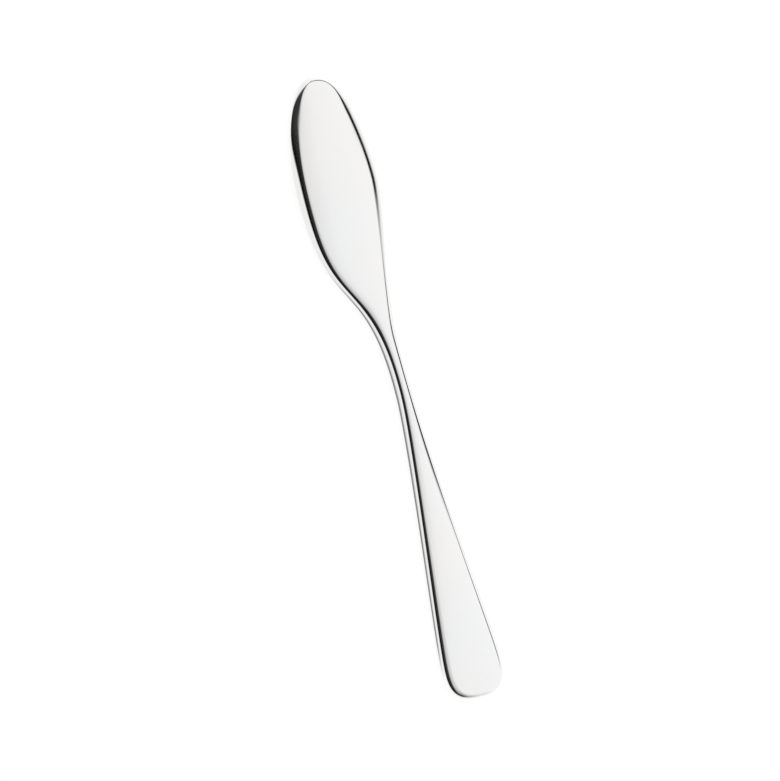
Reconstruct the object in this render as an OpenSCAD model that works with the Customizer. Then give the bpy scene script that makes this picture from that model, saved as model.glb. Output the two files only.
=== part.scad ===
// Butter knife in one piece of polished stainless steel: a leaf-shaped blade with a round tip,
// a slender neck and a flat handle that flares to a blunt, rounded end.
// It lies on its flat underside, with the blade tip toward -X and the cutting side toward -Y.
// The origin is on the underside, below the middle of the knife's bounding box.

/* [Overall] */
// Length from the blade tip to the end of the handle
overall_length = 170; // [155:1:190]

/* [Blade] */
// Distance from the tip to the end of the beveled nose
nose_from_tip = 10; // [6:0.5:12]
// Distance from the tip to the widest place of the blade
widest_from_tip = 29; // [24:0.1:34]
// Reach of the straighter back from the axis of the handle, at the widest place
back_reach = 8.3; // [6:0.05:10]
// Reach of the cutting side from the axis of the handle, at the widest place
belly_reach = 16.8; // [12:0.1:19]
// Distance of the tip from the axis of the handle, toward the cutting side
tip_offset = 4.4; // [0:0.05:6]
// Fullness of the nose on the back, where 2 is an ellipse
back_nose_fullness = 2.5; // [1.6:0.05:3]
// Fullness of the nose on the cutting side, where 2 is an ellipse
belly_nose_fullness = 1.8; // [1.6:0.05:3]

/* [Neck] */
// Distance from the tip to the waist, where the blade runs out into the neck
waist_from_tip = 62; // [56:0.5:68]
// Distance from the tip to the narrowest place on the back
back_neck_from_tip = 72; // [68:0.1:78]
// Reach of the back from the axis at its narrowest place
back_neck_reach = 1.9; // [1.2:0.05:3]
// Distance from the tip to the narrowest place on the cutting side
belly_neck_from_tip = 87; // [80:0.1:94]
// Reach of the cutting side from the axis at its narrowest place
belly_neck_reach = 1.9; // [1.2:0.05:3]

/* [Handle] */
// Distance from the tip to the slim part of the handle
grip_from_tip = 110; // [98:1:122]
// Width of the handle at its widest place, near the end
handle_width = 18.6; // [14:0.05:22]
// Length of the rounded end, from the widest place
handle_round_length = 9; // [6:0.1:14]
// Fullness of the rounded end, where 2 is an ellipse
handle_end_fullness = 2.6; // [2:0.05:3.5]

/* [Thickness] */
// Thickness of the edge at the tip
tip_thickness = 2; // [1.6:0.05:3.2]
// Thickness of the edge at the end of the beveled nose
nose_thickness = 2; // [1.6:0.05:3.2]
// Thickness of the edge at the widest place of the blade
blade_thickness = 3; // [2:0.05:3.8]
// Thickness of the edge at the waist
waist_thickness = 2; // [1.6:0.05:3.6]
// Thickness of the edge at the neck
neck_thickness = 2; // [1.8:0.05:3.6]
// Thickness of the edge at the slim part of the handle
grip_thickness = 2; // [1.8:0.05:3.6]
// Thickness of the edge near the end of the handle
end_thickness = 2; // [1.8:0.05:3.6]
// Rise of the crowned face above the edge of the blade
blade_crown = 1; // [0.1:0.05:1.1]
// Rise of the crowned face above the edge of the waist
waist_crown = 0.5; // [0.1:0.05:1.2]
// Rise of the crowned face above the edge of the neck
neck_crown = 0.5; // [0.1:0.05:1]
// Rise of the crowned face above the edge of the slim part of the handle
grip_crown = 0.5; // [0.1:0.05:0.8]
// Rise of the crowned face above the edge near the end of the handle
end_crown = 0.5; // [0.1:0.05:1]

/* [Edges] */
// Radius of the lower edge along the blade
blade_lower_edge = 1; // [0.2:0.05:1.4]
// Radius of the lower edge along the neck and the slim part of the handle
neck_lower_edge = 0.5; // [0.2:0.05:1]
// Radius of the lower edge near the end of the handle
end_lower_edge = 0.5; // [0.2:0.05:1.2]
// Width of the rounded shoulder on the cutting side at the tip
belly_tip_shoulder = 1; // [0.8:0.05:2]
// Width of the rounded shoulder on the cutting side of the nose
belly_nose_shoulder = 2; // [0.8:0.05:2.4]
// Width of the rounded shoulder on the cutting side of the blade and the waist
belly_blade_shoulder = 2; // [0.8:0.05:2.6]
// Width of the rounded shoulder on the cutting side of the neck and the slim part of the handle
belly_handle_shoulder = 1.5; // [0.6:0.05:2.2]
// Width of the rounded shoulder on the cutting side near the end of the handle
belly_end_shoulder = 2; // [0.8:0.05:2.4]
// Width of the rounded shoulder on the back at the tip
back_tip_shoulder = 1; // [0.4:0.05:2]
// Width of the rounded shoulder on the back of the nose and the blade
back_blade_shoulder = 3; // [1:0.05:3.6]
// Width of the rounded shoulder on the back of the waist
back_waist_shoulder = 1.5; // [0.6:0.05:2]
// Width of the rounded shoulder on the back of the neck and the slim part of the handle
back_handle_shoulder = 1; // [0.6:0.05:1.6]
// Width of the rounded shoulder on the back near the end of the handle
back_end_shoulder = 1.5; // [0.6:0.05:2.4]
// Height of the rounded shoulder on the back of the nose and the blade
back_blade_drop = 0.75; // [0.4:0.05:2.4]
// Height of the rounded shoulder on the back of the waist
back_waist_drop = 0.75; // [0.4:0.05:2]
// Height of the rounded shoulder on the back of the neck and the handle
back_handle_drop = 0.75; // [0.3:0.05:1.6]
// Length over which the two shoulders change into each other round the tip and the end
shoulder_blend = 0.45; // [0.2:0.05:1]

/* [Hidden] */

// Each side runs from its widest place to its narrowest and out again. The shares say how much
// of each run stays nearly parallel to the axis at its two ends.
back_blade_shares = [0.2, 0.2];
belly_blade_shares = [0.6, 0.6];
back_handle_shares = [0.4, 0.1];
belly_handle_shares = [0.2, 0.1];

// Fullness of the shoulder's curve, where 1 is a straight bevel and 2 a quarter of an ellipse: on
// the cutting side at the tip, nose, blade, waist, neck, grip and end, and all along the back
belly_fullness_shares = [1.2, 1.2, 1.5, 2, 2, 2, 2];
back_fullness_share = 1.8;

// The faces round the tip and the end close in on two hubs on the middle line.
tip_hub_share = 0.62;
end_hub_share = 0.95;
// An edge takes at most these shares of the half width and of the thickness.
width_limit_share = 0.85;
thickness_limit_share = 0.98;
// The crown's mesh stops at this share of the way to the middle line, and a flat strip closes it.
crown_reach_share = 0.85;

nose_steps = 20;
body_steps = 62;
end_steps = 20;
lower_edge_steps = 3;
shoulder_steps = 6;
crown_steps = 5;
halvings = 24;

handle_widest_from_tip = overall_length - handle_round_length;
neck_from_tip = (back_neck_from_tip + belly_neck_from_tip) / 2;
tip_hub = widest_from_tip * tip_hub_share;
end_hub = overall_length - handle_round_length * end_hub_share;

function mix(a, b, share) = a + (b - a) * share;
function ease(share) = share * share * (3 - 2 * share);
function clamp(value, low, high) = min(max(value, low), high);
function round_end(share, fullness) = pow(1 - pow(share, fullness), 1 / fullness);

// Distance along an S-shaped run that stays parallel to the axis by its two end shares.
function run(t, ends) =
    3 * (1 - t) * (1 - t) * t * ends[0] + 3 * (1 - t) * t * t * (1 - ends[1]) + t * t * t;
function run_place(share, ends, low = 0, high = 1, left = halvings) =
    let (middle = (low + high) / 2)
    left == 0 ? middle
    : run(middle, ends) < share ? run_place(share, ends, middle, high, left - 1)
    : run_place(share, ends, low, middle, left - 1);
function swept(x, start, stop, from, to, ends) =
    mix(from, to, ease(run_place((x - start) / (stop - start), ends)));

// Reach of one side from the axis, at a distance x from the tip.
function reach(x, tip, widest, fullness, neck, neck_x, blade_ends, handle_ends) =
    x < widest_from_tip
        ? mix(tip, widest, round_end(1 - x / widest_from_tip, fullness))
    : x < neck_x
        ? swept(x, widest_from_tip, neck_x, widest, neck, blade_ends)
    : x < handle_widest_from_tip
        ? swept(x, neck_x, handle_widest_from_tip, neck, handle_width / 2, handle_ends)
    : handle_width / 2
        * round_end((x - handle_widest_from_tip) / handle_round_length, handle_end_fullness);
function back(x) =
    reach(x, -tip_offset, back_reach, back_nose_fullness,
          back_neck_reach, back_neck_from_tip, back_blade_shares, back_handle_shares);
function belly(x) =
    reach(x, tip_offset, belly_reach, belly_nose_fullness,
          belly_neck_reach, belly_neck_from_tip, belly_blade_shares, belly_handle_shares);

// A size runs smoothly through its values at these places, without passing beyond any of them.
places = [
    0, nose_from_tip, widest_from_tip, waist_from_tip,
    neck_from_tip, grip_from_tip, handle_widest_from_tip
];
last_place = len(places) - 1;
function rise(values, k) = (values[k + 1] - values[k]) / (places[k + 1] - places[k]);
function slope(values, k) =
    k == 0 || k == last_place ? 0
    : let (before = rise(values, k - 1), after = rise(values, k))
        before * after > 0 ? 2 * before * after / (before + after) : 0;
function stretch(x, k = 0) =
    k == last_place - 1 || x < places[k + 1] ? k : stretch(x, k + 1);
function along(x, values) =
    let (k = stretch(x),
         span = places[k + 1] - places[k],
         share = clamp((x - places[k]) / span, 0, 1),
         bend = (1 - share) * slope(values, k) - share * slope(values, k + 1))
    mix(values[k], values[k + 1], ease(share)) + span * share * (1 - share) * bend;

function thickness(x) =
    along(x, [tip_thickness, nose_thickness, blade_thickness, waist_thickness,
              neck_thickness, grip_thickness, end_thickness]);
function crown(x) =
    along(x, [blade_crown, blade_crown, blade_crown, waist_crown,
              neck_crown, grip_crown, end_crown]);
function lower_edge(x) =
    along(x, [blade_lower_edge, blade_lower_edge, blade_lower_edge, neck_lower_edge,
              neck_lower_edge, neck_lower_edge, end_lower_edge]);
function belly_width(x) =
    along(x, [belly_tip_shoulder, belly_nose_shoulder, belly_blade_shoulder,
              belly_blade_shoulder, belly_handle_shoulder, belly_handle_shoulder,
              belly_end_shoulder]);
function back_width(x) =
    along(x, [back_tip_shoulder, back_blade_shoulder, back_blade_shoulder,
              back_waist_shoulder, back_handle_shoulder, back_handle_shoulder,
              back_end_shoulder]);
function back_drop(x) =
    along(x, [back_blade_drop, back_blade_drop, back_blade_drop, back_waist_drop,
              back_handle_drop, back_handle_drop, back_handle_drop]);

// The outline starts at the tip, follows the back to the end, and comes back by the cutting side.
stations = [
    for (k = [1:nose_steps]) widest_from_tip * (1 - cos(90 * k / nose_steps)),
    for (k = [1:body_steps]) mix(widest_from_tip, handle_widest_from_tip, k / body_steps),
    for (k = [1:end_steps - 1]) handle_widest_from_tip + handle_round_length * sin(90 * k / end_steps)
];
side_count = len(stations);
outline = [
    [0, -tip_offset],
    for (x = stations) [x, back(x)],
    [overall_length, 0],
    for (k = [1:side_count]) let (x = stations[side_count - k]) [x, -belly(x)]
];
count = len(outline);

// Each point of the outline has a direction inward and a partner on the middle line.
function unit(v) = v / norm(v);
inward = [
    for (i = [0:count - 1])
        let (along_edge = unit(outline[(i + 1) % count] - outline[(i + count - 1) % count]))
            [along_edge[1], -along_edge[0]]
];
middle_line = [
    for (p = outline)
        let (x = clamp(p[0], tip_hub, end_hub)) [x, (back(x) - belly(x)) / 2]
];
room = [for (i = [0:count - 1]) norm(middle_line[i] - outline[i])];

// The shoulder is that of the cutting side at 0 and that of the back at 1.
function side_share(i) =
    let (x = outline[i][0],
         side = i == 0 || i == side_count + 1 ? 0 : i <= side_count ? 1 : -1)
    ease((1 + side * sqrt(clamp(min(x, overall_length - x) / shoulder_blend, 0, 1))) / 2);
on_back = [for (i = [0:count - 1]) side_share(i)];
lower_radius = [
    for (i = [0:count - 1]) min(lower_edge(outline[i][0]), room[i] * width_limit_share)
];
shoulder_width = [
    for (i = [0:count - 1])
        let (x = outline[i][0])
            min(mix(belly_width(x), back_width(x), on_back[i]), room[i] * width_limit_share)
];
shoulder_height = [
    for (i = [0:count - 1])
        let (x = outline[i][0], whole = (thickness(x) - lower_radius[i]) * thickness_limit_share)
            mix(whole, min(back_drop(x), whole), on_back[i])
];
shoulder_power = [
    for (i = [0:count - 1])
        2 / mix(along(outline[i][0], belly_fullness_shares), back_fullness_share, on_back[i])
];

// A point of the upper side, at its inset from the edge and its drop below the face
function lifted(i, flat, inset, drop) =
    let (open = 1 - min(inset / room[i], 1))
    [flat[0], flat[1], thickness(flat[0]) + crown(flat[0]) * (1 - open * open) - drop];
function lower_ring(turn) = [
    for (i = [0:count - 1])
        let (flat = outline[i] + inward[i] * lower_radius[i] * (1 - sin(turn)))
            [flat[0], flat[1], lower_radius[i] * (1 - cos(turn))]
];
function shoulder_ring(turn) = [
    for (i = [0:count - 1])
        let (inset = shoulder_width[i] * (1 - pow(cos(turn), shoulder_power[i])),
             drop = shoulder_height[i] * (1 - pow(sin(turn), shoulder_power[i])))
            lifted(i, outline[i] + inward[i] * inset, inset, drop)
];
function crown_ring(share) = [
    for (i = [0:count - 1])
        let (start = outline[i] + inward[i] * shoulder_width[i])
            lifted(i, mix(start, middle_line[i], share), mix(shoulder_width[i], room[i], share), 0)
];

rings = [
    for (k = [0:lower_edge_steps]) lower_ring(90 * k / lower_edge_steps),
    for (k = [0:shoulder_steps]) shoulder_ring(90 * k / shoulder_steps),
    for (k = [1:crown_steps]) crown_ring(crown_reach_share * k / crown_steps)
];
ring_count = len(rings);

knife_points = [for (ring = rings) each ring];
side_faces = [
    for (k = [0:ring_count - 2], i = [0:count - 1])
        let (low = k * count, high = low + count, next = (i + 1) % count)
            each [[low + i, low + next, high + next], [low + i, high + next, high + i]]
];

// A flat strip closes a ring from side to side, with one triangle at each end.
function closing_strip(first) = [
    [first, first + 1, first + count - 1],
    for (i = [1:side_count - 1])
        each [
            [first + i, first + i + 1, first + count - i - 1],
            [first + i, first + count - i - 1, first + count - i]
        ],
    [first + side_count, first + side_count + 1, first + side_count + 2]
];
function turned_over(faces) = [for (face = faces) [face[2], face[1], face[0]]];
knife_faces = concat(
    side_faces,
    closing_strip((ring_count - 1) * count),
    turned_over(closing_strip(0))
);

low_side = max(belly_reach, handle_width / 2);
high_side = max(back_reach, handle_width / 2);

module knife() {
    color([0.78, 0.79, 0.80])
        translate([-overall_length / 2, (low_side - high_side) / 2, 0])
            polyhedron(points = knife_points, faces = knife_faces, convexity = 4);
}

knife();
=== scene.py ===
"""Looks of the one-piece butter knife: its polished steel, the floor, the studio and the camera."""
import math

import bpy
import numpy as np
from mathutils import Matrix, Vector


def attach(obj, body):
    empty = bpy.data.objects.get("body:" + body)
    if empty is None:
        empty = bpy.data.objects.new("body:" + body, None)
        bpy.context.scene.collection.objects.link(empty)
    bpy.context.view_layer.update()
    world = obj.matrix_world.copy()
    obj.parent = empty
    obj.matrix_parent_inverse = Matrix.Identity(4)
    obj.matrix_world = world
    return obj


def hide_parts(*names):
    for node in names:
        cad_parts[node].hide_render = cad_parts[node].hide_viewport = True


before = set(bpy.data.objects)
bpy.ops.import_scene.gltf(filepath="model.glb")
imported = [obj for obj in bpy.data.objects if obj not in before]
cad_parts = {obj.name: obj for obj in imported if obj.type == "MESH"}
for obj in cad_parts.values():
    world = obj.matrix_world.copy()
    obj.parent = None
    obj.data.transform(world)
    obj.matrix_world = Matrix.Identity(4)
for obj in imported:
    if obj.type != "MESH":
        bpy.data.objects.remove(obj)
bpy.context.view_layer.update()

MM = 0.001

# Outline of the knife, in millimetres from the blade tip and from the axis of the handle
OVERALL_LENGTH = 170.0
WIDEST_FROM_TIP = 29
BACK_REACH = 8.3
BELLY_REACH = 16.8
TIP_OFFSET = 4.4
BACK_NOSE_FULLNESS = 2.5
BELLY_NOSE_FULLNESS = 1.8
BACK_NECK_FROM_TIP = 72
BACK_NECK_REACH = 1.9
BELLY_NECK_FROM_TIP = 87
BELLY_NECK_REACH = 1.9
HANDLE_WIDTH = 18.6
HANDLE_ROUND_LENGTH = 9.0
HANDLE_END_FULLNESS = 2.6
BACK_BLADE_SHARES = (0.2, 0.2)
BELLY_BLADE_SHARES = (0.6, 0.6)
BACK_HANDLE_SHARES = (0.4, 0.1)
BELLY_HANDLE_SHARES = (0.2, 0.1)
HANDLE_WIDEST_FROM_TIP = OVERALL_LENGTH - HANDLE_ROUND_LENGTH

# Section of the knife, in millimetres: sizes at the tip, nose, widest place, waist, neck, grip and
# end, as in part.scad. Between these places each size changes smoothly
NOSE_FROM_TIP = 10
WAIST_FROM_TIP = 62
NECK_FROM_TIP = (BACK_NECK_FROM_TIP + BELLY_NECK_FROM_TIP) / 2
GRIP_FROM_TIP = 110
PLACES = (0, NOSE_FROM_TIP, WIDEST_FROM_TIP, WAIST_FROM_TIP,
          NECK_FROM_TIP, GRIP_FROM_TIP, HANDLE_WIDEST_FROM_TIP)
EDGE_THICKNESS = (2, 2, 3, 2, 2, 2, 2)
CROWN = (1, 1, 1, 0.5, 0.5, 0.5, 0.5)
LOWER_EDGE = (1, 1, 1, 0.5, 0.5, 0.5, 0.5)
# A shoulder's fullness is 1 for a straight bevel and 2 for a quarter of an ellipse
BELLY_SHOULDER_WIDTH = (1, 2, 2, 2, 1.5, 1.5, 2)
BELLY_SHOULDER_FULLNESS = (1.2, 1.2, 1.5, 2, 2, 2, 2)
BACK_SHOULDER_WIDTH = (1, 3, 3, 1.5, 1, 1, 1.5)
BACK_SHOULDER_HEIGHT = (0.75,) * len(PLACES)
BACK_SHOULDER_FULLNESS = 1.8
# Length over which the two shoulders change into each other round the tip and the end
SHOULDER_BLEND = 0.45

# How near the tip and the end the rings close in, how much of the room and of the edge a
# shoulder may take, and how far in the crown's last ring lies
TIP_HUB_SHARE = 0.62
END_HUB_SHARE = 0.95
WIDTH_LIMIT_SHARE = 0.95
THICKNESS_LIMIT_SHARE = 0.98
CROWN_REACH_SHARE = 0.97

# Points along each side of the nose, body and end, and rings up the section
NOSE_STEPS = 120
BODY_STEPS = 280
END_STEPS = 80
LOWER_EDGE_STEPS = 8
SHOULDER_STEPS = 22
CROWN_STEPS = 22
# Halvings that find a place on an S-shaped run
HALVINGS = 40


def mix(a, b, share):
    return a + (b - a) * share


def ease(share):
    return share * share * (3 - 2 * share)


def round_end(share, fullness):
    return (1 - np.clip(share, 0, 1) ** fullness) ** (1 / fullness)


def swept(x, start, stop, first, last, ends):
    """An S-shaped run from first to last that stays parallel to the axis by its two end shares."""
    share = np.clip((x - start) / (stop - start), 0, 1)
    low, high = np.zeros_like(share), np.ones_like(share)
    for _ in range(HALVINGS):
        t = (low + high) / 2
        place = 3 * (1 - t) ** 2 * t * ends[0] + 3 * (1 - t) * t * t * (1 - ends[1]) + t ** 3
        low, high = np.where(place < share, t, low), np.where(place < share, high, t)
    return mix(first, last, ease((low + high) / 2))


def reach(x, tip, widest, fullness, neck, neck_x, blade_ends, handle_ends):
    """Reach of one side from the axis, at a distance x from the tip."""
    nose = mix(tip, widest, round_end(1 - x / WIDEST_FROM_TIP, fullness))
    blade = swept(x, WIDEST_FROM_TIP, neck_x, widest, neck, blade_ends)
    handle = swept(x, neck_x, HANDLE_WIDEST_FROM_TIP, neck, HANDLE_WIDTH / 2, handle_ends)
    past = np.clip((x - HANDLE_WIDEST_FROM_TIP) / HANDLE_ROUND_LENGTH, 0, 1)
    end = HANDLE_WIDTH / 2 * round_end(past, HANDLE_END_FULLNESS)
    return np.select([x < WIDEST_FROM_TIP, x < neck_x, x < HANDLE_WIDEST_FROM_TIP],
                     [nose, blade, handle], end)


def back(x):
    return reach(x, -TIP_OFFSET, BACK_REACH, BACK_NOSE_FULLNESS, BACK_NECK_REACH,
                 BACK_NECK_FROM_TIP, BACK_BLADE_SHARES, BACK_HANDLE_SHARES)


def belly(x):
    return reach(x, TIP_OFFSET, BELLY_REACH, BELLY_NOSE_FULLNESS, BELLY_NECK_REACH,
                 BELLY_NECK_FROM_TIP, BELLY_BLADE_SHARES, BELLY_HANDLE_SHARES)


def along(x, values):
    """A size that runs smoothly through its values at the places, and not beyond any of them."""
    places, values = np.array(PLACES), np.array(values)
    rises = np.diff(values) / np.diff(places)
    before, after = rises[:-1], rises[1:]
    steady = before * after > 0
    slopes = np.zeros(len(values))
    slopes[1:-1] = np.where(steady, 2 * before * after / np.where(steady, before + after, 1), 0)
    k = np.clip(np.searchsorted(places, x) - 1, 0, len(places) - 2)
    span = places[k + 1] - places[k]
    share = np.clip((x - places[k]) / span, 0, 1)
    bend = (1 - share) * slopes[k] - share * slopes[k + 1]
    return mix(values[k], values[k + 1], ease(share)) + span * share * (1 - share) * bend


def stations():
    """Distances from the tip at which both sides have a point, closer together at both ends."""
    quarter = math.pi / 2
    nose = WIDEST_FROM_TIP * (1 - np.cos(quarter * np.arange(1, NOSE_STEPS + 1) / NOSE_STEPS))
    body = mix(WIDEST_FROM_TIP, HANDLE_WIDEST_FROM_TIP, np.arange(1, BODY_STEPS + 1) / BODY_STEPS)
    end = HANDLE_WIDEST_FROM_TIP + HANDLE_ROUND_LENGTH * np.sin(
        quarter * np.arange(1, END_STEPS) / END_STEPS)
    return np.concatenate([nose, body, end])


def knife_rings():
    """Rings of points from the flat underside over the edge to the middle of the crowned face."""
    x = stations()
    outline = np.concatenate([
        [[0, -TIP_OFFSET]], np.stack([x, back(x)], 1),
        [[OVERALL_LENGTH, 0]], np.stack([x, -belly(x)], 1)[::-1]])
    tangent = np.roll(outline, -1, 0) - np.roll(outline, 1, 0)
    tangent /= np.linalg.norm(tangent, axis=1, keepdims=True)
    inward = np.stack([tangent[:, 1], -tangent[:, 0]], 1)
    place = outline[:, 0]
    middle_x = np.clip(place, WIDEST_FROM_TIP * TIP_HUB_SHARE,
                       OVERALL_LENGTH - HANDLE_ROUND_LENGTH * END_HUB_SHARE)
    middle = np.stack([middle_x, (back(middle_x) - belly(middle_x)) / 2], 1)
    room = np.linalg.norm(middle - outline, axis=1)

    side = np.concatenate([[0], np.ones(len(x)), [0], -np.ones(len(x))])
    blend = np.sqrt(np.clip(np.minimum(place, OVERALL_LENGTH - place) / SHOULDER_BLEND, 0, 1))
    on_back = ease((1 + side * blend) / 2)
    limit = room * WIDTH_LIMIT_SHARE
    lower = np.minimum(along(place, LOWER_EDGE), limit)
    width = mix(along(place, BELLY_SHOULDER_WIDTH), along(place, BACK_SHOULDER_WIDTH), on_back)
    width = np.minimum(width, limit)
    whole = (along(place, EDGE_THICKNESS) - lower) * THICKNESS_LIMIT_SHARE
    height = mix(whole, np.minimum(along(place, BACK_SHOULDER_HEIGHT), whole), on_back)
    fullness = mix(along(place, BELLY_SHOULDER_FULLNESS), BACK_SHOULDER_FULLNESS, on_back)

    def lifted(flat, inset, drop):
        """A ring on the upper side, at its inset from the edge and its drop below the face."""
        share = np.minimum(inset / room, 1)
        rise = along(flat[:, 0], CROWN) * (1 - (1 - share) ** 2)
        return np.column_stack([flat, along(flat[:, 0], EDGE_THICKNESS) + rise - drop])

    rings = []
    for turn in np.linspace(0, math.pi / 2, LOWER_EDGE_STEPS + 1):
        flat = outline + inward * (lower * (1 - math.sin(turn)))[:, None]
        rings.append(np.column_stack([flat, lower * (1 - math.cos(turn))]))
    for turn in np.linspace(0, math.pi / 2, SHOULDER_STEPS + 1):
        inset = width * (1 - abs(math.cos(turn)) ** (2 / fullness))
        drop = height * (1 - math.sin(turn) ** (2 / fullness))
        rings.append(lifted(outline + inward * inset[:, None], inset, drop))
    start = outline + inward * width[:, None]
    for share in np.linspace(0, CROWN_REACH_SHARE, CROWN_STEPS + 1)[1:]:
        rings.append(lifted(mix(start, middle, share), mix(width, room, share), 0))
    return rings


def closing_strip(first, count):
    """Faces that close a ring from side to side, with one triangle at each end."""
    side_count = (count - 2) // 2
    faces = [(first, first + count - 1, first + 1)]
    for i in range(1, side_count):
        faces.append((first + i, first + count - i, first + count - i - 1, first + i + 1))
    faces.append((first + side_count, first + side_count + 2, first + side_count + 1))
    return faces


def knife_mesh():
    """The knife's skin in one smooth mesh."""
    rings = knife_rings()
    count = len(rings[0])
    faces = []
    for low in range(0, (len(rings) - 1) * count, count):
        for i in range(count):
            j = (i + 1) % count
            faces.append((low + j, low + i, low + count + i, low + count + j))
    faces += closing_strip((len(rings) - 1) * count, count)
    faces += [face[::-1] for face in closing_strip(0, count)]
    shift = np.array([-OVERALL_LENGTH / 2, (BELLY_REACH - HANDLE_WIDTH / 2) / 2, 0])
    mesh = bpy.data.meshes.new("knife_skin")
    mesh.from_pydata(((np.concatenate(rings) + shift) * MM).tolist(), [], faces)
    mesh.validate()
    mesh.shade_smooth()
    return mesh


class Nodes:
    """Adds shader nodes to the tree of one material or world, each linked as it is made."""

    def __init__(self, owner):
        owner.use_nodes = True
        self.tree = owner.node_tree
        self.tree.nodes.clear()

    def plug(self, value, socket):
        if isinstance(value, bpy.types.NodeSocket):
            self.tree.links.new(value, socket)
        else:
            socket.default_value = value

    def add(self, kind, inputs=None, **settings):
        node = self.tree.nodes.new("ShaderNode" + kind)
        for name, value in settings.items():
            setattr(node, name, value)
        for name, value in (inputs or {}).items():
            self.plug(value, node.inputs[name])
        return node

    def number(self, operation, a, b=0.0):
        return self.add("Math", {0: a, 1: b}, operation=operation).outputs[0]

    def product(self, first, *rest):
        for value in rest:
            first = self.number("MULTIPLY", first, value)
        return first

    def rising(self, value, low, high, first=0.0, last=1.0):
        """A soft step from first to last as the value goes from low to high."""
        inputs = {"Value": value, "From Min": low, "From Max": high, "To Min": first, "To Max": last}
        return self.add("MapRange", inputs, interpolation_type="SMOOTHSTEP").outputs[0]

    def falling(self, value, low, high):
        return self.rising(value, low, high, 1.0, 0.0)

    def ramp(self, value, steps):
        """A level that runs straight from each of its steps, place and level, to the next."""
        node = self.add("ValToRGB", {0: value})
        elements = node.color_ramp.elements
        for k, (position, level) in enumerate(steps):
            element = elements[k] if k < 2 else elements.new(1.0)
            element.position = position
            element.color = (level, level, level, 1)
        return node.outputs["Color"]

    def blend(self, share, first, second):
        return self.add("Mix", {0: share, 2: first, 3: second}, data_type="FLOAT").outputs[0]

    def choose(self, share, first, second):
        return self.add("MixShader", {0: share, 1: first, 2: second}).outputs[0]


# Steel in two close tints, its roughness in the clear and in the cloudy places, and the faint
# polishing lines and clouds, finer across the knife than along it
STEEL_COOL = (0.858, 0.86, 0.862, 1)
STEEL_WARM = (0.866, 0.86, 0.85, 1)
STEEL_ROUGHNESS = 0.06
CLOUD_ROUGHNESS = 0.085
LINE_ROUGHNESS = 0.03
LINE_BUMP = 0.25
LINE_DEPTH = 0.000002
LINE_STRETCH = (60, 3000, 3000)
CLOUD_STRETCH = (35, 60, 60)


def steel_material():
    """Mirror-polished stainless steel with faint polishing lines along the knife."""
    material = bpy.data.materials.new("polished_steel")
    nodes = Nodes(material)
    place = nodes.add("TexCoord").outputs["Object"]

    def noise(stretch, detail, roughness):
        turned = nodes.add("Mapping", {"Vector": place, "Scale": stretch}).outputs[0]
        inputs = {"Vector": turned, "Scale": 1.0, "Detail": detail, "Roughness": roughness}
        return nodes.add("TexNoise", inputs).outputs["Fac"]

    lines = noise(LINE_STRETCH, 3.0, 0.6)
    clouds = noise(CLOUD_STRETCH, 2.0, 0.5)
    tint = nodes.add("Mix", {0: nodes.rising(clouds, 0.4, 0.62), 6: STEEL_COOL, 7: STEEL_WARM},
                     data_type="RGBA").outputs[2]
    rough = nodes.number("ADD", nodes.rising(lines, 0.35, 0.75, 0.0, LINE_ROUGHNESS),
                         nodes.rising(clouds, 0.35, 0.7, STEEL_ROUGHNESS, CLOUD_ROUGHNESS))
    bump = nodes.add("Bump", {"Strength": LINE_BUMP, "Distance": LINE_DEPTH, "Height": lines})
    shader = nodes.add("BsdfPrincipled", {
        "Base Color": tint, "Metallic": 1.0, "Roughness": rough, "Normal": bump.outputs[0]})
    nodes.add("OutputMaterial", {"Surface": shader.outputs[0]})
    return material


# The white floor's level, its half width and its place in metres, and the share of its level that
# the camera sees as plain glow
FLOOR_LEVEL = 1.02
FLOOR_HALF_WIDTH = 2.0
FLOOR_BELOW_KNIFE = 0.00002
FLOOR_GLOW_SHARE = 0.8
# The floor's level in the steel beside the blade, the handle, the handle's end and the back, as
# painted light: patches of glow that are brighter or darker by place. Also the share of it that is
# left in the painted shadow along the neck and the handle, a glow darkened near the knife
MIRRORED_BY_BLADE = 1.0
MIRRORED_BY_HANDLE = 0.9
MIRRORED_BY_END = 1.15
MIRRORED_BY_BACK = 1.15
MIRRORED_SHADOW_SHARE = 0.3
SHADOW_REACH = 4.5
SHADOW_OPENNESS = (0.9, 1.0)
SHADOW_SAMPLES = 16
# Where these begin and end, in millimetres from the knife's middle: along it, and across it for
# the light beside its back
HANDLE_LIGHT_FROM = (-45, -20)
END_LIGHT_FROM = (65, 80)
BACK_LIGHT_FROM = (2, 5)
SHADOW_FROM = (-35, -20)
SHADOW_TO = (65, 80)


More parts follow.
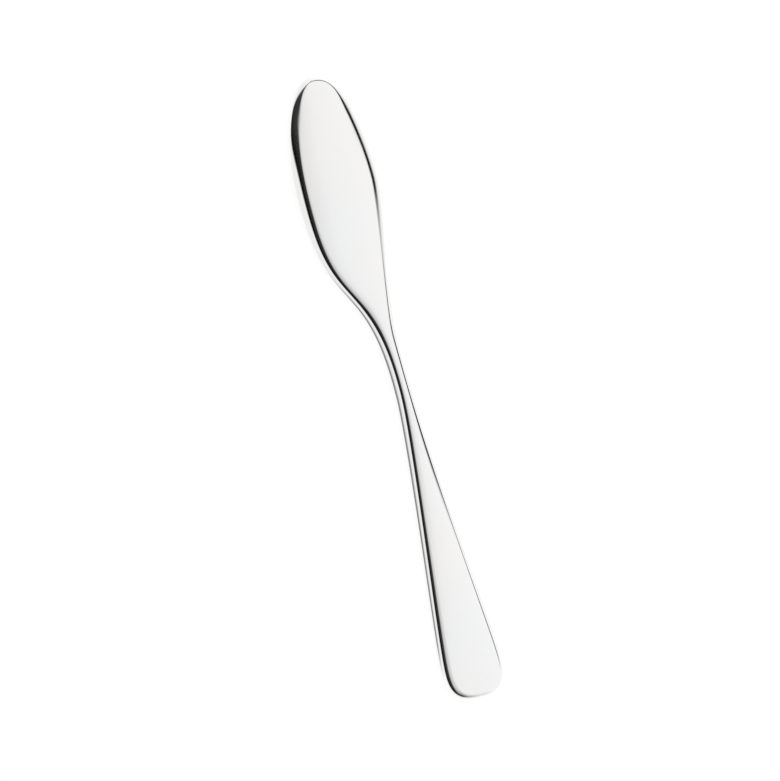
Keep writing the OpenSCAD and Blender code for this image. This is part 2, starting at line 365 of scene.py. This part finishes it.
def floor_piece():
    """A plain white floor that keeps the knife's shadow. In the steel it shows as glow, with painted
    light by place and a painted shadow beside the knife.
    """
    half = FLOOR_HALF_WIDTH
    mesh = bpy.data.meshes.new("floor")
    corners = [(-half, -half, 0), (half, -half, 0), (half, half, 0), (-half, half, 0)]
    mesh.from_pydata(corners, [], [(0, 1, 2, 3)])
    floor = bpy.data.objects.new("floor", mesh)
    floor.location.z = -FLOOR_BELOW_KNIFE
    bpy.context.scene.collection.objects.link(floor)
    material = bpy.data.materials.new("floor_white")
    nodes = Nodes(material)

    def white(glow_share):
        level = FLOOR_LEVEL * (1 - glow_share)
        diffuse = nodes.add("BsdfDiffuse", {"Color": (level, level, level, 1)})
        glow = nodes.add("Emission", {"Strength": FLOOR_LEVEL * glow_share})
        return nodes.add("AddShader", {0: diffuse.outputs[0], 1: glow.outputs[0]}).outputs[0]

    position = nodes.add("NewGeometry").outputs["Position"]
    millimetres = nodes.add("VectorMath", {0: position, "Scale": 1 / MM}, operation="SCALE").outputs[0]
    along_knife, across_knife, _ = nodes.add("SeparateXYZ", {0: millimetres}).outputs
    # Painted light: the glow that the steel mirrors is brighter or darker by its place along and
    # across the knife
    light = nodes.rising(along_knife, *HANDLE_LIGHT_FROM, MIRRORED_BY_BLADE, MIRRORED_BY_HANDLE)
    light = nodes.rising(along_knife, *END_LIGHT_FROM, light, MIRRORED_BY_END)
    light = nodes.rising(across_knife, *BACK_LIGHT_FROM, light, MIRRORED_BY_BACK)
    # Painted shadow: that glow is darkened where the knife closes off the floor round it, along the
    # neck and the handle
    openness = nodes.add("AmbientOcclusion", {"Distance": SHADOW_REACH * MM},
                         samples=SHADOW_SAMPLES).outputs["AO"]
    shade = nodes.product(nodes.falling(openness, *SHADOW_OPENNESS),
                          nodes.rising(along_knife, *SHADOW_FROM),
                          nodes.falling(along_knife, *SHADOW_TO))
    level = nodes.number("MULTIPLY", light, nodes.blend(shade, 1.0, MIRRORED_SHADOW_SHARE))
    mirrored = nodes.add("Emission", {"Strength": level}).outputs[0]
    path = nodes.add("LightPath")
    seen = nodes.number("MAXIMUM", path.outputs["Is Camera Ray"], path.outputs["Is Transmission Ray"])
    surface = nodes.choose(path.outputs["Is Glossy Ray"], white(0.0), mirrored)
    nodes.add("OutputMaterial", {"Surface": nodes.choose(seen, surface, white(FLOOR_GLOW_SHARE))})
    mesh.materials.append(material)


# Light of the studio in the steel, by the angle from overhead in degrees: plus is the camera's side
STUDIO_LIGHT = ((-60, 1.1), (-25, 1.0), (-10, 0.75), (10, 0.65), (22, 0.05))
# A dark screen stands in front of the knife and a dark strip behind it. The first and last values
# of a pair are where a soft step begins and ends: in degrees from overhead or round the knife, and
# for BACKWARD and the strip's TO_TIP in the direction's own parts, from -1 to 1
FRONT_DARK = (0.05, 0.0)
FRONT_DARK_CHANGE = (-75, -25)
FRONT_FROM_ZENITH = (15, 60)
FRONT_TO_TIP = (-125, -80)
FRONT_TO_HANDLE = (90, 145)
REAR_DARK = 0.0
REAR_FROM_ZENITH = (48, 55)
REAR_BACKWARD = (0.0, 0.02)
REAR_TO_TIP = (0.0, 0.15)
# Below both, the white room goes all the way round, and is brightest low down behind the knife
HORIZON_FROM_ZENITH = (60, 70)
HORIZON_LIGHT = 1.0
LOW_FROM_ZENITH = (75, 90)
LOW_BACKWARD = (0.0, 0.2)
LOW_LIGHT = 1.15


def studio_world():
    """A soft studio, as the polished steel mirrors it; all else is lit by plain white."""
    world = bpy.data.worlds.new("studio")
    bpy.context.scene.world = world
    nodes = Nodes(world)
    direction = nodes.add("TexCoord").outputs["Generated"]
    x, y, z = nodes.add("SeparateXYZ", {0: direction}).outputs
    forward = nodes.number("MULTIPLY", y, -1.0)
    zenith = nodes.number("DEGREES", nodes.number("ARCCOSINE", z))
    azimuth = nodes.number("DEGREES", nodes.number("ARCTAN2", x, forward))
    lean = nodes.number("DEGREES", nodes.number("ARCTAN2", forward, z))

    share = nodes.number("DIVIDE", nodes.number("ADD", lean, 90.0), 180.0)
    light = nodes.ramp(share, [((angle + 90) / 180, level) for angle, level in STUDIO_LIGHT])
    front = nodes.product(nodes.rising(zenith, *FRONT_FROM_ZENITH),
                          nodes.rising(azimuth, *FRONT_TO_TIP),
                          nodes.falling(azimuth, *FRONT_TO_HANDLE))
    rear = nodes.product(nodes.rising(zenith, *REAR_FROM_ZENITH),
                         nodes.rising(y, *REAR_BACKWARD), nodes.falling(x, *REAR_TO_TIP))
    level = nodes.blend(front, light, nodes.rising(azimuth, *FRONT_DARK_CHANGE, *FRONT_DARK))
    level = nodes.blend(rear, level, REAR_DARK)
    low = nodes.product(nodes.rising(zenith, *LOW_FROM_ZENITH), nodes.rising(y, *LOW_BACKWARD))
    horizon = nodes.blend(low, HORIZON_LIGHT, LOW_LIGHT)
    level = nodes.blend(nodes.rising(zenith, *HORIZON_FROM_ZENITH), level, horizon)
    mirrored = nodes.add("LightPath").outputs["Is Glossy Ray"]
    background = nodes.add("Background", {"Color": nodes.blend(mirrored, 1.0, level)})
    nodes.add("OutputWorld", {"Surface": background.outputs[0]})


# The camera stands on the cutting side and is rolled so that the tip points up and to the left.
# The photograph's width is in pixels and its scale in pixels to the millimetre
PHOTO_WIDTH = 780
PHOTO_SCALE = 3.778
CAMERA_FROM_ZENITH = math.radians(33)
CAMERA_ROLL = math.radians(14.2)
CAMERA_DISTANCE = 1.2
CAMERA_TARGET = Vector((0.00007, 0.00069, 0))


def camera_piece():
    data = bpy.data.cameras.new("camera")
    data.sensor_fit = "HORIZONTAL"
    half_view = PHOTO_WIDTH / PHOTO_SCALE * MM / 2
    data.angle = 2 * math.atan(half_view / CAMERA_DISTANCE)
    camera = bpy.data.objects.new("camera", data)
    bpy.context.scene.collection.objects.link(camera)
    toward = Vector((0, -math.sin(CAMERA_FROM_ZENITH), math.cos(CAMERA_FROM_ZENITH)))
    across = Vector((0, math.cos(CAMERA_FROM_ZENITH), math.sin(CAMERA_FROM_ZENITH)))
    length = Vector((1, 0, 0))
    right = length * math.sin(CAMERA_ROLL) + across * math.cos(CAMERA_ROLL)
    up = -length * math.cos(CAMERA_ROLL) + across * math.sin(CAMERA_ROLL)
    turn = Matrix((right, up, toward)).transposed().to_4x4()
    camera.matrix_world = Matrix.Translation(CAMERA_TARGET + toward * CAMERA_DISTANCE) @ turn
    bpy.context.scene.camera = camera


knife = bpy.data.objects.new("knife_body", knife_mesh())
bpy.context.scene.collection.objects.link(knife)
knife.data.materials.append(steel_material())
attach(knife, "root")
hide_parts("knife")

floor_piece()
studio_world()
camera_piece()
bpy.context.scene.view_settings.view_transform = "Standard"
